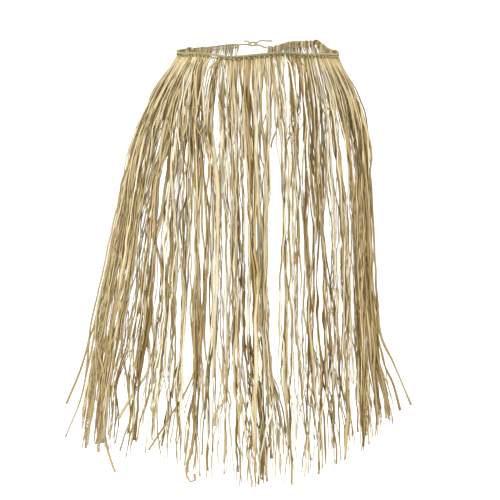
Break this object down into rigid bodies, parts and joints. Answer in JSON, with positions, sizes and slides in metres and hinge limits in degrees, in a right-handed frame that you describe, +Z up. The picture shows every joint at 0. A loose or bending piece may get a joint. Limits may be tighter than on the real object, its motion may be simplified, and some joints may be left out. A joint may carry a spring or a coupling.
{
  "type": "grass skirt",
  "caption": "Raffia grass skirt, as worn: a twisted waistband cord knotted behind, with locks of loose strips hanging all round over an open hollow.",
  "frame": {"origin": "middle of the waist ring, in the plane of the waistband, where the wearer's waist holds the skirt", "axes": "+Z up along the wearer, out of the waist opening; -Y towards the skirt's front; +Y towards the knot behind; +X towards the wearer's left"},
  "size_m": [0.5797, 0.4496, 0.7145],
  "materials": {
    "raffia_fringe": "natural raffia strips, golden tan, dry satin sheen, fine grain along each strip",
    "raffia_band": "twisted natural raffia cord, dull tan with darker turns",
    "raffia_tie": "thin twisted natural raffia, pale straw"
  },
  "bodies": {
    "root": {"fringe_back_left_01": "raffia_fringe", "fringe_back_left_02": "raffia_fringe", "fringe_back_left_03": "raffia_fringe", "fringe_back_left_04": "raffia_fringe", "fringe_back_left_05": "raffia_fringe", "fringe_back_right_01": "raffia_fringe", "fringe_back_right_02": "raffia_fringe", "fringe_back_right_03": "raffia_fringe", "fringe_back_right_04": "raffia_fringe", "fringe_back_right_05": "raffia_fringe", "fringe_back_right_06": "raffia_fringe", "fringe_front_01": "raffia_fringe", "fringe_front_02": "raffia_fringe", "fringe_front_03": "raffia_fringe", "fringe_front_04": "raffia_fringe", "fringe_front_05": "raffia_fringe", "fringe_front_06": "raffia_fringe", "fringe_front_07": "raffia_fringe", "fringe_front_08": "raffia_fringe", "fringe_front_09": "raffia_fringe", "fringe_front_10": "raffia_fringe", "fringe_front_11": "raffia_fringe", "fringe_front_12": "raffia_fringe", "fringe_front_13": "raffia_fringe", "fringe_front_14": "raffia_fringe", "fringe_front_15": "raffia_fringe", "fringe_front_16": "raffia_fringe", "fringe_front_17": "raffia_fringe", "fringe_front_18": "raffia_fringe", "fringe_front_19": "raffia_fringe", "fringe_left_01": "raffia_fringe", "fringe_left_02": "raffia_fringe", "fringe_left_03": "raffia_fringe", "fringe_left_04": "raffia_fringe", "fringe_left_05": "raffia_fringe", "fringe_left_06": "raffia_fringe", "fringe_right_01": "raffia_fringe", "fringe_right_02": "raffia_fringe", "fringe_right_03": "raffia_fringe", "fringe_right_04": "raffia_fringe", "fringe_right_05": "raffia_fringe", "fringe_right_06": "raffia_fringe", "tie_knot": "raffia_tie", "tie_left": "raffia_tie", "tie_left_end": "raffia_tie", "tie_right": "raffia_tie", "tie_right_end": "raffia_tie", "waistband": "raffia_band"}
  },
  "joints": []
}
